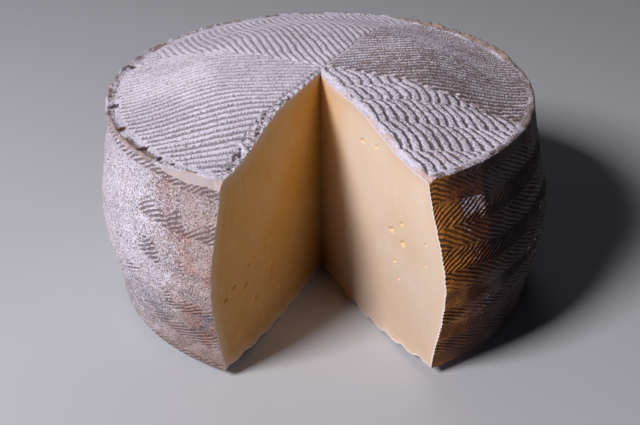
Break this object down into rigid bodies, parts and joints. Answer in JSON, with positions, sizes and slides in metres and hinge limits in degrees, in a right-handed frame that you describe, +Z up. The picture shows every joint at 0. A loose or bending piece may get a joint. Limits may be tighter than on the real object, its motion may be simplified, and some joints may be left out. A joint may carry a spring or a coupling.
{
  "type": "cheese wheel",
  "caption": "Pressed cheese wheel with an imprinted natural rind, a domed top with a low lip, and one wedge cut out.",
  "frame": {"origin": "middle of the plain flat patch on the underside, where the axis of the wheel's top meets the surface it stands on", "axes": "+Z up along the wheel's axis, -Y out through the middle of the cut"},
  "size_m": [0.1934, 0.1834, 0.0981],
  "materials": {
    "cheese": "matte natural rind, satin paste on the cuts"
  },
  "bodies": {
    "root": {"cheese_wheel": "cheese"}
  },
  "joints": []
}
